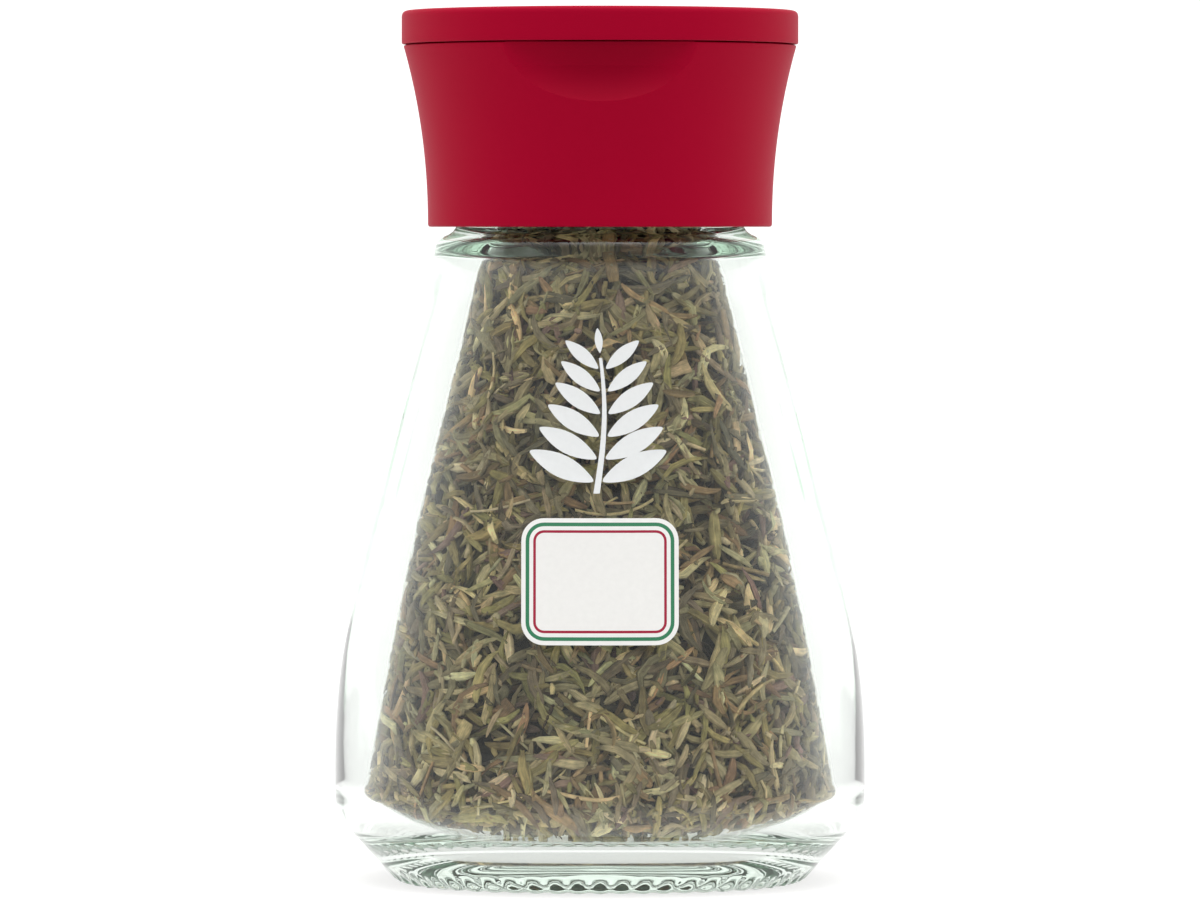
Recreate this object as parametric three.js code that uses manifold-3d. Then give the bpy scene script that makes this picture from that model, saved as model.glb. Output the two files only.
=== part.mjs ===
// A clear glass spice jar of dried thyme, with a red screw closure and a flip lid.
//
// Millimetres, +Z up. The origin is the centre of the jar's foot ring, on the surface that the
// jar stands on, and the front of the jar faces -Y. In plan the jar is a softly squared round
// below the shoulder and a true round at the neck.

import * as THREE from 'three';
import { mergeVertices } from 'three/addons/utils/BufferGeometryUtils.js';
import { ParametricGeometry } from 'three/addons/geometries/ParametricGeometry.js';
import Module from 'manifold-3d';

const wasm = await Module();
wasm.setup();

// Driving dimensions

const GAP = 0.3; // clearance between pieces that touch
const FACETS = 48; // facets round the jar and the closure
const PROFILE_STEPS = 3; // stretches along each curve of a profile

const FOOT = { inner: 20.2, outer: 24.0, pushUp: 1.8, heel: 0.6 };
const BELLY = { radius: 31.5, low: 9.6, high: 14.0, chamfer: 6.6, corner: 2.6 };
const TAPER = { lowRadius: 29.4, low: 33.0, topRadius: 20.5, top: 70.3 };
const SHOULDER = { radius: 19.6, z: 75.0, rise: 1.9, blend: 2.0 };
const NECK = { radius: 16.85, bore: 12.4, top: 94.2, lip: 0.8 };
const CAVITY = { floor: 4.6, dome: 0.5, radius: 28.4, corner: 8.4, wall: 12.0, pullRadius: 24.4, pull: 35.4 };
const THROAT = { radius: 14.75, low: 72.6, high: 75.6 }; // where the hollow draws in to the neck's bore
const SQUARENESS = { body: 2.35, neck: 2.0, from: 76.0, to: 66.0 }; // exponent of the plan's outline

// The label panels, front and back, are pressed into the glass and meet in a rib at each side.
const PANEL = { low: 42.5, high: 70.0, step: 0.7, depth: 0.2, ribFacets: 1 };

const THREAD = { pitch: 4.2, turns: 1.25, height: 1.1, root: 2.2, crest: 0.9, sunk: 0.4, low: 84.2 };
const THREAD_STEPS = 26; // stretches along the whole thread
const THREAD_RUN_OUT = 0.08; // share of the thread over which each end fades into the wall

const SKIRT = { low: 77.4, lowRadius: 20.4, high: 98.9, highRadius: 23.3, flare: 2.1, edge: 0.3, rings: 6 };
const BORE = { radius: 18.35, deckLow: 95.9 };
const DECK = { top: 97.6, radius: 18.9, holes: 6, holeRadius: 1.8, ringRadius: 6.2 };
const SCOOP = { radius: 9.0, y: -29.2, z: 96.9, halfWidth: 14.0 }; // a cylinder across the front
const LINER = { inner: 13.0, outer: 17.9, low: 94.5, high: 95.6 };
const LID = { radius: 23.5, low: 99.2, top: 103.0, edge: 0.8, wall: 1.6, roof: 1.5 };
const PLUG = { inner: 17.2, outer: 18.4, low: 98.0 };
const HINGE = { y: 23.0, z: 99.05, halfWidth: 5.2, radius: 0.45, pocket: 0.8 };

const STICKER = { width: 18.0, height: 14.5, corner: 3.2, thick: 0.3, z: 36.5, columns: 8, rows: 4 };
const STICKER_SPREAD = 0.22; // how fast the wall under the sticker widens below the taper

// The thyme: a core, and leaves and twigs larger than life that stand out of it.
const FILL = { clear: 0.35, top: 80.6 };
const PILE = { sink: 1.5, facets: 24, tries: 12000, seed: 20417 };
const LEAF = { length: 12.5, width: 5.0, thick: 2.3, bend: 0.02, vary: 0.16, depth: 1.35, scatter: 0.3 };
const LEAF_ROOM = 3.3; // distance that a leaf keeps from the spines of its neighbours
const TWIG = { count: 8, length: 15.0, radius: 0.8, sides: 5, room: 3.0, depth: 1.3, low: 0.2, high: 0.8 };
const SPINE = [-0.36, -0.12, 0.12, 0.36]; // points along a leaf, as shares of its length
const DRIFT = { turns: 2, sway: 0.9, scatter: 0.35 }; // how the lie of the leaves changes over the pile

const FRONT = -Math.PI / 2; // azimuth of the front

// Solids

// The signed volume of a triangle mesh, negative where its faces point inwards.
function signedVolume(positions, index) {
  const a = new THREE.Vector3();
  const b = new THREE.Vector3();
  const c = new THREE.Vector3();
  let sum = 0;
  for (let i = 0; i < index.length; i += 3) {
    a.fromBufferAttribute(positions, index[i]);
    b.fromBufferAttribute(positions, index[i + 1]);
    c.fromBufferAttribute(positions, index[i + 2]);
    sum += a.dot(b.cross(c));
  }
  return sum / 6;
}

// The solid of a closed geometry. Triangles that a pole or a tapered end has collapsed are dropped.
function solidOf(geometry) {
  const bare = geometry.clone();
  bare.deleteAttribute('normal');
  bare.deleteAttribute('uv');
  const merged = mergeVertices(bare, 1e-4);
  const index = [];
  for (let i = 0; i < merged.index.count; i += 3) {
    const [a, b, c] = [0, 1, 2].map((k) => merged.index.getX(i + k));
    if (a !== b && b !== c && c !== a) index.push(a, b, c);
  }
  if (signedVolume(merged.attributes.position, index) < 0) index.reverse();
  return new wasm.Manifold(new wasm.Mesh({
    numProp: 3,
    vertProperties: merged.attributes.position.array,
    triVerts: new Uint32Array(index),
  }));
}

// A mesh of a solid, with flat shading.
function meshOf(name, solid, material) {
  const { vertProperties, triVerts, numProp } = solid.getMesh();
  const corners = new Float32Array(triVerts.length * 3);
  triVerts.forEach((vertex, i) => {
    for (let k = 0; k < 3; k += 1) corners[3 * i + k] = vertProperties[vertex * numProp + k];
  });
  const geometry = new THREE.BufferGeometry();
  geometry.setAttribute('position', new THREE.BufferAttribute(corners, 3));
  geometry.computeVertexNormals();
  const mesh = new THREE.Mesh(geometry, material);
  mesh.name = name;
  return mesh;
}

// The largest of the bodies that a cut has left, without its loose scraps.
function largestOf(bodies) {
  return bodies.reduce((best, body) => (body.volume() > best.volume() ? body : best));
}

// Moves every vertex of a geometry by a rule that changes the point it is given.
function reshape(geometry, rule) {
  const positions = geometry.attributes.position;
  const point = new THREE.Vector3();
  for (let i = 0; i < positions.count; i += 1) {
    point.fromBufferAttribute(positions, i);
    rule(point);
    positions.setXYZ(i, point.x, point.y, point.z);
  }
  return geometry;
}

// A solid of revolution about Z from a profile of (radius, height) that starts and ends on the axis.
function revolved(profile, facets = FACETS) {
  return new THREE.LatheGeometry(profile, facets).rotateX(Math.PI / 2);
}

function profileOf(draw, divisions) {
  const path = new THREE.Path();
  draw(path);
  return path.getPoints(divisions);
}

// A cylinder between two heights, as (radius, height) steps.
function drum(radius, low, high, facets = FACETS) {
  const points = [[0, low], [radius, low], [radius, high], [0, high]];
  return revolved(points.map(([r, z]) => new THREE.Vector2(r, z)), facets);
}

// A ring between two radii and two heights.
function ring(inner, outer, low, high) {
  return solidOf(drum(outer, low, high)).subtract(solidOf(drum(inner, low - 1, high + 1)));
}

// Plan

const azimuthOf = (p) => Math.atan2(p.y, p.x);

// How far the plan's outline stands out at an azimuth, as a share of its half width.
function planFactor(azimuth, z) {
  const share = THREE.MathUtils.smoothstep(z, SQUARENESS.to, SQUARENESS.from);
  const n = THREE.MathUtils.lerp(SQUARENESS.body, SQUARENESS.neck, share);
  const sum = Math.abs(Math.cos(azimuth)) ** n + Math.abs(Math.sin(azimuth)) ** n;
  return sum ** (-1 / n);
}

function squareOff(point) {
  const factor = planFactor(azimuthOf(point), point.z);
  point.x *= factor;
  point.y *= factor;
}

// Jar

function jarProfile() {
  return profileOf((p) => {
    p.moveTo(0, FOOT.pushUp);
    p.quadraticCurveTo((FOOT.inner * 3) / 4, FOOT.pushUp, FOOT.inner, 0);
    p.lineTo(FOOT.outer, 0);
    p.lineTo(FOOT.outer + FOOT.heel, FOOT.heel);
    p.lineTo(BELLY.radius - BELLY.corner / 2, BELLY.chamfer);
    p.quadraticCurveTo(BELLY.radius, BELLY.low - BELLY.corner / 2, BELLY.radius, BELLY.low);
    p.lineTo(BELLY.radius, BELLY.high);
    const reach = (TAPER.low - BELLY.high) * 0.4;
    p.bezierCurveTo(BELLY.radius, BELLY.high + reach, taperRadius(TAPER.low - reach), TAPER.low - reach,
      TAPER.lowRadius, TAPER.low);
    for (const z of [PANEL.low, PANEL.low + PANEL.step, PANEL.high - PANEL.step, PANEL.high]) {
      p.lineTo(taperRadius(z), z);
    }
    p.bezierCurveTo(taperRadius(PANEL.high + SHOULDER.blend), PANEL.high + SHOULDER.blend,
      SHOULDER.radius, SHOULDER.z - SHOULDER.blend, SHOULDER.radius, SHOULDER.z);
    p.quadraticCurveTo(SHOULDER.radius, SHOULDER.z + SHOULDER.rise,
      NECK.radius, SHOULDER.z + SHOULDER.rise);
    p.lineTo(NECK.radius, NECK.top - NECK.lip);
    p.lineTo(NECK.radius - NECK.lip, NECK.top);
    p.lineTo(0, NECK.top);
  }, PROFILE_STEPS);
}

function taperRadius(z) {
  const share = (z - TAPER.low) / (TAPER.top - TAPER.low);
  return THREE.MathUtils.lerp(TAPER.lowRadius, TAPER.topRadius, share);
}

// Presses the label panels into the outer wall, leaving a rib at each side.
function pressPanels(point) {
  const fromSide = Math.abs(Math.abs(azimuthOf(point)) - Math.PI / 2);
  const facet = (2 * Math.PI) / FACETS;
  const besideRib = fromSide < Math.PI / 2 - (PANEL.ribFacets - 0.5) * facet;
  const within = point.z > PANEL.low + PANEL.step / 2 && point.z < PANEL.high - PANEL.step / 2;
  if (!besideRib || !within) return;
  const radius = Math.hypot(point.x, point.y);
  point.x *= (radius - PANEL.depth) / radius;
  point.y *= (radius - PANEL.depth) / radius;
}

// The hollow of the jar, or the same hollow drawn in by a clearance and closed at a fill height.
function hollowProfile(clear, top) {
  const low = CAVITY.floor + clear;
  const radius = CAVITY.radius - clear;
  const neck = NECK.bore - clear;
  return profileOf((p) => {
    p.moveTo(0, low + CAVITY.dome);
    p.lineTo(radius - CAVITY.corner, low);
    p.quadraticCurveTo(radius, low, radius, CAVITY.wall);
    p.quadraticCurveTo(CAVITY.pullRadius - clear, CAVITY.pull, THROAT.radius - clear, THROAT.low);
    p.lineTo(neck, THROAT.high);
    p.lineTo(neck, top);
    p.lineTo(0, top);
  }, PROFILE_STEPS);
}

function hollow(clear, top, facets = FACETS) {
  return reshape(revolved(hollowProfile(clear, top), facets), squareOff);
}

// One trapezoid thread ridge on a round wall: outward on the neck, inward in the closure. Its
// ends fade into the wall. The ridge starts at an azimuth and a height and climbs right-handed.
function threadRidge(wallRadius, direction, low, start) {
  const corners = [[-THREAD.sunk, -0.5], [0, -0.5], [1, -0.5], [1, 0.5], [0, 0.5], [-THREAD.sunk, 0.5]];
  const surface = (u, v, target) => {
    const [out, side] = corners[Math.round(u * corners.length) % corners.length];
    const fade = Math.min(1, v / THREAD_RUN_OUT, (1 - v) / THREAD_RUN_OUT);
    const reach = out > 0 ? fade * (THREAD.height + THREAD.sunk) - THREAD.sunk : out;
    const width = out > 0 ? THREAD.crest : THREAD.root;
    const open = v > 0 && v < 1 ? 1 : 0;
    const azimuth = start + v * THREAD.turns * 2 * Math.PI;
    const radius = wallRadius + direction * (open ? reach : -THREAD.sunk);
    const rise = v * THREAD.turns * THREAD.pitch + side * width * open;
    target.set(radius * Math.cos(azimuth), radius * Math.sin(azimuth), low + rise);
  };
  return solidOf(new ParametricGeometry(surface, corners.length, THREAD_STEPS));
}

function jarGlass() {
  const outside = solidOf(reshape(reshape(revolved(jarProfile()), squareOff), pressPanels));
  const inside = solidOf(hollow(0, NECK.top + 1));
  const thread = threadRidge(NECK.radius, 1, THREAD.low, FRONT);
  return outside.add(thread).subtract(inside);
}

// Closure

// The cut under the front of the lid that a thumb lifts it by.
function thumbScoop() {
  const cutter = new THREE.CylinderGeometry(SCOOP.radius, SCOOP.radius, 2 * SCOOP.halfWidth, FACETS / 2);
  return solidOf(cutter.rotateZ(Math.PI / 2).translate(0, SCOOP.y, SCOOP.z));
}

function skirtProfile() {
  const height = SKIRT.high - SKIRT.low;
  const wall = (z) => SKIRT.lowRadius
    + (SKIRT.highRadius - SKIRT.lowRadius) * ((z - SKIRT.low) / height) ** SKIRT.flare;
  const points = [[0, SKIRT.low], [SKIRT.lowRadius - SKIRT.edge, SKIRT.low]];
  for (let i = 0; i <= SKIRT.rings; i += 1) {
    const z = SKIRT.low + SKIRT.edge + ((height - SKIRT.edge) * i) / SKIRT.rings;
    points.push([wall(z), z]);
  }
  points.push([0, SKIRT.high]);
  return points.map(([r, z]) => new THREE.Vector2(r, z));
}

// The pocket at the back that the film hinge lies in.
function hingePocket() {
  const box = new THREE.BoxGeometry(2 * (HINGE.halfWidth + GAP), 4, 2 * HINGE.pocket + 1);
  return solidOf(box.translate(0, HINGE.y - HINGE.pocket + 2, HINGE.z));
}

function pouringHoles() {
  const places = [[0, 0]];
  for (let i = 0; i < DECK.holes; i += 1) {
    const azimuth = FRONT + (i * 2 * Math.PI) / DECK.holes;
    places.push([DECK.ringRadius * Math.cos(azimuth), DECK.ringRadius * Math.sin(azimuth)]);
  }
  return places.map(([x, y]) => (
    solidOf(drum(DECK.holeRadius, BORE.deckLow - 1, DECK.top + 1, 12).translate(x, y, 0))
  ));
}

function closureBody() {
  let body = solidOf(revolved(skirtProfile())).subtract(thumbScoop());
  body = body.subtract(solidOf(drum(BORE.radius, SKIRT.low - 1, BORE.deckLow)));
  body = body.subtract(solidOf(drum(DECK.radius, DECK.top, SKIRT.high + 1)));
  const below = THREAD.root / 2 + THREAD.crest / 2 + GAP;
  body = body.add(threadRidge(BORE.radius, -1, THREAD.low - below, FRONT));
  for (const hole of pouringHoles()) body = body.subtract(hole);
  return body.subtract(hingePocket());
}

function flipLid() {
  const outside = profileOf((p) => {
    p.moveTo(0, LID.low);
    p.lineTo(LID.radius, LID.low);
    p.lineTo(LID.radius, LID.top - LID.edge);
    p.quadraticCurveTo(LID.radius, LID.top, LID.radius - LID.edge, LID.top);
    p.lineTo(0, LID.top);
  }, 3);
  const under = solidOf(drum(LID.radius - LID.wall, LID.low - 1, LID.top - LID.roof));
  const plug = ring(PLUG.inner, PLUG.outer, PLUG.low, LID.top - LID.roof / 2);
  return solidOf(revolved(outside)).subtract(under).add(plug).subtract(hingePocket());
}

function hingeWeb() {
  const bar = new THREE.CylinderGeometry(HINGE.radius, HINGE.radius, 2 * HINGE.halfWidth, 8);
  return solidOf(bar.rotateZ(Math.PI / 2).translate(0, HINGE.y, HINGE.z));
}

const sealLiner = () => ring(LINER.inner, LINER.outer, LINER.low, LINER.high);

// Sticker

// A block as deep as the jar with the sticker's outline, rounded at its corners.
function stickerOutline() {
  const [x, z, r] = [STICKER.width / 2, STICKER.height / 2, STICKER.corner];
  const outline = new THREE.Shape();
  outline.absarc(x - r, z - r, r, 0, Math.PI / 2);
  outline.absarc(r - x, z - r, r, Math.PI / 2, Math.PI);
  outline.absarc(r - x, r - z, r, Math.PI, 1.5 * Math.PI);
  outline.absarc(x - r, r - z, r, 1.5 * Math.PI, 2 * Math.PI);
  const options = { depth: 2 * BELLY.radius, bevelEnabled: false, curveSegments: 4 };
  const block = new THREE.ExtrudeGeometry(outline, options).rotateX(Math.PI / 2);
  return solidOf(block.translate(0, 0, STICKER.z));
}

// A plain sticker bent round the front of the jar, just clear of the glass.
function labelSticker() {
  const sheet = new THREE.BoxGeometry(STICKER.width + 1, STICKER.thick, STICKER.height + 1,
    STICKER.columns, 1, STICKER.rows);
  const bent = reshape(sheet, (point) => {
    const z = STICKER.z + point.z;
    const wall = z > TAPER.low ? taperRadius(z) : TAPER.lowRadius + (TAPER.low - z) * STICKER_SPREAD;
    const radius = wall + GAP + STICKER.thick / 2 - point.y;
    const azimuth = FRONT + point.x / wall;
    point.set(radius * Math.cos(azimuth), radius * Math.sin(azimuth), z);
    squareOff(point);
  });
  return solidOf(bent).intersect(stickerOutline());
}

// Thyme

// A seeded draw between 0 and 1.
function draws(seed) {
  let state = seed;
  return () => {
    state = (state * 16807) % 2147483647;
    return state / 2147483647;
  };
}

// A point of the pile's surface, with its outward normal, at a share of the surface's area that
// runs from the middle of the floor to the middle of the top.
function surfacePlaces(profile) {
  const stretches = [];
  let total = 0;
  for (let i = 1; i < profile.length; i += 1) {
    const [from, to] = [profile[i - 1], profile[i]];
    total += from.distanceTo(to) * (from.x + to.x);
    stretches.push({ from, to, until: total });
  }
  return (share, azimuth) => {
    const at = stretches.find((s) => s.until >= share * total);
    const before = at.until - at.from.distanceTo(at.to) * (at.from.x + at.to.x);
    const along = (share * total - before) / (at.until - before);
    const flat = at.from.clone().lerp(at.to, along);
    const slope = at.to.clone().sub(at.from).normalize();
    const point = new THREE.Vector3(flat.x * Math.cos(azimuth), flat.x * Math.sin(azimuth), flat.y);
    const step = 0.01;
    const turn = (planFactor(azimuth + step, flat.y) - planFactor(azimuth - step, flat.y)) / (2 * step);
    const bearing = azimuth - Math.atan2(turn, planFactor(azimuth, flat.y));
    const normal = new THREE.Vector3(
      slope.y * Math.cos(bearing), slope.y * Math.sin(bearing), -slope.x,
    );
    squareOff(point);
    return { point, normal };
  };
}

// A rolled leaf: blunt, ridged outwards, and bent so that its tips dip into the pile.
function leafShape(length, width) {
  const blade = new THREE.SphereGeometry(1, 4, 3).scale(width / 2, length / 2, LEAF.thick / 2);
  return reshape(blade, (point) => {
    point.z -= LEAF.bend * point.y ** 2;
  });
}

// Where a shape lies: its middle, its two directions and its outward normal.
function seatOf({ point, normal }, turn, depth) {
  const along = new THREE.Vector3(-normal.y, normal.x, 0);
  if (along.lengthSq() < 1e-6) along.set(1, 0, 0);
  along.normalize().applyAxisAngle(normal, turn);
  return { along, normal, middle: point.clone().addScaledVector(normal, -depth) };
}

function laid(shape, { middle, along, normal }) {
  const across = new THREE.Vector3().crossVectors(along, normal);
  const seat = new THREE.Matrix4().makeBasis(across, along, normal).setPosition(middle);
  return solidOf(shape.applyMatrix4(seat));
}

// The lie of the leaves at a place, which drifts over the pile so that neighbours pack closely.
function lieAt({ point }, draw) {
  const wave = Math.sin(DRIFT.turns * azimuthOf(point) + point.z / LEAF.length);
  return Math.PI / 2 + DRIFT.sway * wave + DRIFT.scatter * (2 * draw() - 1);
}

// Leaves and twigs strewn over the pile, each kept only where it lies clear of those before it.
function thymeLeaves() {
  const draw = draws(PILE.seed);
  const placeAt = surfacePlaces(hollowProfile(FILL.clear, FILL.top));
  const golden = Math.PI * (3 - Math.sqrt(5));
  const taken = [];
  let pile = solidOf(hollow(FILL.clear + PILE.sink, FILL.top - PILE.sink, PILE.facets));
  const strew = (shape, length, room, seat) => {
    const spine = SPINE.map((share) => seat.middle.clone().addScaledVector(seat.along, share * length));
    if (taken.some((t) => spine.some((s) => s.distanceTo(t) < room))) return;
    taken.push(...spine);
    pile = pile.add(laid(shape, seat));
  };
  for (let i = 0; i < TWIG.count; i += 1) {
    const twig = new THREE.CylinderGeometry(TWIG.radius, TWIG.radius, TWIG.length, TWIG.sides);
    const share = THREE.MathUtils.lerp(TWIG.low, TWIG.high, (i + draw()) / TWIG.count);
    strew(twig, TWIG.length, TWIG.room, seatOf(placeAt(share, i * golden), Math.PI * draw(), TWIG.depth));
  }
  for (let i = 0; i < PILE.tries; i += 1) {
    const size = 1 + LEAF.vary * (2 * draw() - 1);
    const [length, width] = [LEAF.length * size, LEAF.width * (2 - size)];
    const place = placeAt(draw(), i * golden);
    const seat = seatOf(place, lieAt(place, draw), LEAF.depth + LEAF.scatter * draw());
    strew(leafShape(length, width), length, LEAF_ROOM, seat);
  }
  const pressed = pile.intersect(solidOf(hollow(FILL.clear, FILL.top)));
  return largestOf(pressed.decompose());
}

// Assembly

const glass = new THREE.MeshStandardMaterial({
  color: '#dfe9df', roughness: 0.03, metalness: 0, transparent: true, opacity: 0.35,
});
const redPlastic = new THREE.MeshStandardMaterial({ color: '#a0062c', roughness: 0.38, metalness: 0 });
const hingePlastic = redPlastic.clone();
const linerFoam = new THREE.MeshStandardMaterial({ color: '#ecece6', roughness: 0.7, metalness: 0 });
const driedLeaf = new THREE.MeshStandardMaterial({ color: '#7f7861', roughness: 0.85, metalness: 0 });
const paper = new THREE.MeshStandardMaterial({ color: '#f6f6f2', roughness: 0.5, metalness: 0 });

const jar = new THREE.Group();
jar.add(
  meshOf('jar_glass', jarGlass(), glass),
  meshOf('thyme_leaves', thymeLeaves(), driedLeaf),
  meshOf('label_sticker', labelSticker(), paper),
  meshOf('seal_liner', sealLiner(), linerFoam),
  meshOf('closure_body', closureBody(), redPlastic),
  meshOf('hinge_web', hingeWeb(), hingePlastic),
  meshOf('flip_lid', flipLid(), redPlastic.clone()),
);

export default jar;
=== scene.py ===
"""A clear glass spice jar of dried thyme, with a red screw closure and a flip lid.

The classes hold their sizes in millimetres, in the frame of the model: +Z up, the origin at the
centre of the foot ring, the front towards -Y. A shape is scaled to metres when it is finished.
"""

from __future__ import annotations

import logging
import math
from dataclasses import dataclass, field
from enum import Enum
from functools import cached_property
from typing import Sequence

import bmesh
import bpy
import numpy as np
from mathutils import Matrix, Vector, noise


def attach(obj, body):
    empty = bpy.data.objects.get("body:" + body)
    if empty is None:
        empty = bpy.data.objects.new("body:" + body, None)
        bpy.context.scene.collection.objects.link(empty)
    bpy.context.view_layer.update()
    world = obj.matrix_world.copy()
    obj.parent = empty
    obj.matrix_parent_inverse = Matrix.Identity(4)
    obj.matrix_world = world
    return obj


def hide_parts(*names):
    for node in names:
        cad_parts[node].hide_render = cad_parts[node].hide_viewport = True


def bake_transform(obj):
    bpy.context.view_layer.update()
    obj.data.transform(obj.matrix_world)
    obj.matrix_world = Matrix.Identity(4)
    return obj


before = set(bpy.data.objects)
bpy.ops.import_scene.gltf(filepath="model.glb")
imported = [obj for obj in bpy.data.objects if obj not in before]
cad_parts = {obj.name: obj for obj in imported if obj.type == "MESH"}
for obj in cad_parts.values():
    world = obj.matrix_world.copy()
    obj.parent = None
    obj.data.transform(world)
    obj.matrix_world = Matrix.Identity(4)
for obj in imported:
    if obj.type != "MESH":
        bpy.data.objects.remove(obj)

MM = 0.001
FRONT = -math.pi / 2
PHOTO_SIZE = (1200, 901)
SAME_PLACE_MM = 1e-4  # points nearer than this are one
SHARP_DEGREES = 40.0  # an edge past this angle stays sharp, where a piece says nothing else

LOG = logging.getLogger("spice_jar")

Colour = tuple[float, float, float, float]
Point = tuple[float, float]


# Helpers


def linear(code: str) -> Colour:
    """Turns an sRGB hex colour to linear values.

    Args:
        code: Six hex digits after a hash sign.

    Returns:
        Red, green, blue and an alpha of 1.
    """
    parts = [int(code[i : i + 2], 16) / 255 for i in (1, 3, 5)]
    r, g, b = (p / 12.92 if p <= 0.04045 else ((p + 0.055) / 1.055) ** 2.4 for p in parts)
    return (r, g, b, 1.0)


def add_node(
    tree: bpy.types.NodeTree, kind: str, inputs: dict | None = None, **settings,
) -> bpy.types.Node:
    """Adds a node with its settings, values and links.

    Args:
        tree: The node tree that gets the node.
        kind: The node's type name.
        inputs: Values or output sockets, by input name or number.
        **settings: The node's own properties.

    Returns:
        The new node.
    """
    made = tree.nodes.new(kind)
    for key, value in settings.items():
        setattr(made, key, value)
    for key, value in (inputs or {}).items():
        if isinstance(value, bpy.types.NodeSocket):
            tree.links.new(value, made.inputs[key])
        else:
            made.inputs[key].default_value = value
    return made


def blank_material(name: str) -> tuple[bpy.types.Material, bpy.types.NodeTree]:
    """Makes a material with an empty node tree and gives both."""
    material = bpy.data.materials.new(name)
    material.use_nodes = True
    material.node_tree.nodes.clear()
    return material, material.node_tree


def smooth_share(value: float, low: float, high: float) -> float:
    """Gives 0 below low, 1 above high, and a smooth rise between them."""
    share = min(1.0, max(0.0, (value - low) / (high - low)))
    return share * share * (3 - 2 * share)


def as_mesh(name: str, shape: bmesh.types.BMesh) -> bpy.types.Mesh:
    """Turns a shape into a mesh and frees it."""
    mesh = bpy.data.meshes.new(name)
    shape.to_mesh(mesh)
    shape.free()
    return mesh


def in_scene(name: str, data: bpy.types.ID) -> bpy.types.Object:
    """Makes an object of a mesh, a light or a camera, and links it to the scene."""
    made = bpy.data.objects.new(name, data)
    bpy.context.scene.collection.objects.link(made)
    return made


def finish_piece(
    name: str,
    shape: bmesh.types.BMesh | bpy.types.Mesh,
    materials: Sequence[bpy.types.Material],
    body: str,
    replaces: Sequence[str] = (),
    crease: float = SHARP_DEGREES,
) -> bpy.types.Object:
    """Turns a shape into a finished piece of the object, which rides on a body.

    Args:
        name: The piece's name.
        shape: A shape in millimetres, which is freed, or a mesh that is in metres already.
        materials: Its materials, in the order of the faces' material numbers.
        body: The body that it rides on, or nothing where it is blended between two.
        replaces: The CAD nodes that it stands for.
        crease: The angle in degrees past which an edge stays sharp.

    Returns:
        The new object.
    """
    mesh = shape
    if isinstance(shape, bmesh.types.BMesh):
        bmesh.ops.scale(shape, vec=(MM, MM, MM), verts=shape.verts)
        mesh = as_mesh(name, shape)
    for material in materials:
        mesh.materials.append(material)
    mesh.shade_smooth()
    mesh.set_sharp_from_angle(angle=math.radians(crease))
    piece = in_scene(name, mesh)
    if replaces:
        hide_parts(*replaces)
    if body:
        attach(piece, body)
    LOG.info("%s: %d faces, rides on %s", name, len(mesh.polygons), body or "two bodies")
    return piece


def face_and_thicken(sheet: bmesh.types.BMesh, thick: float) -> None:
    """Faces a thin sheet on the jar's front outwards, and gives it its thickness outwards.

    Args:
        sheet: The sheet, one face deep.
        thick: Its thickness.
    """
    bmesh.ops.recalc_face_normals(sheet, faces=sheet.faces)
    wrong = [face for face in sheet.faces if face.normal.y > 0]
    bmesh.ops.reverse_faces(sheet, faces=wrong)
    bmesh.ops.solidify(sheet, geom=sheet.faces[:], thickness=-thick)


@dataclass
class Outline:
    """An open line of (radius, height) points in millimetres, drawn piece by piece."""

    points: list[Point]

    def line(self, radius: float, height: float, spacing: float = 1.5) -> "Outline":
        """Draws a straight line.

        Args:
            radius: The radius at its end.
            height: The height at its end.
            spacing: The largest distance between points on it.

        Returns:
            This outline.
        """
        start = Vector(self.points[-1])
        end = Vector((radius, height))
        steps = max(1, math.ceil((end - start).length / spacing))
        self.points += [tuple(start.lerp(end, i / steps)) for i in range(1, steps + 1)]
        return self

    def bend(self, control: Point, end: Point, steps: int = 8) -> "Outline":
        """Draws a curve that is pulled towards one control point.

        Args:
            control: The control point.
            end: The curve's end.
            steps: The stretches that it is made of.

        Returns:
            This outline.
        """
        start, middle, last = Vector(self.points[-1]), Vector(control), Vector(end)
        for i in range(1, steps + 1):
            t = i / steps
            self.points.append(tuple(start.lerp(middle, t).lerp(middle.lerp(last, t), t)))
        return self

    def radius_at(self, height: float | np.ndarray) -> float | np.ndarray:
        """Gives the radius at a height, where the outline rises all the way."""
        radii, heights = zip(*self.points)
        return np.interp(height, heights, radii)

    def spun(self, facets: int) -> bmesh.types.BMesh:
        """Turns the outline once round the Z axis, as an eighth that is then repeated.

        Args:
            facets: The steps of the full turn, a multiple of eight.

        Returns:
            The shape, with its poles and its seam closed.
        """
        shape = bmesh.new()
        verts = [shape.verts.new((r, 0, z)) for r, z in self.points]
        edges = [shape.edges.new(pair) for pair in zip(verts, verts[1:])]
        bmesh.ops.spin(
            shape, geom=verts + edges, cent=(0, 0, 0), axis=(0, 0, 1),
            angle=math.pi / 4, steps=facets // 8,
        )
        for turn in (math.pi / 4, math.pi / 2, math.pi):
            sector = shape.verts[:] + shape.edges[:] + shape.faces[:]
            made = bmesh.ops.duplicate(shape, geom=sector)["geom"]
            moved = [item for item in made if isinstance(item, bmesh.types.BMVert)]
            bmesh.ops.rotate(shape, verts=moved, matrix=Matrix.Rotation(turn, 3, "Z"))
        bmesh.ops.remove_doubles(shape, verts=shape.verts, dist=SAME_PLACE_MM)
        bmesh.ops.recalc_face_normals(shape, faces=shape.faces)
        return shape


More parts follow.
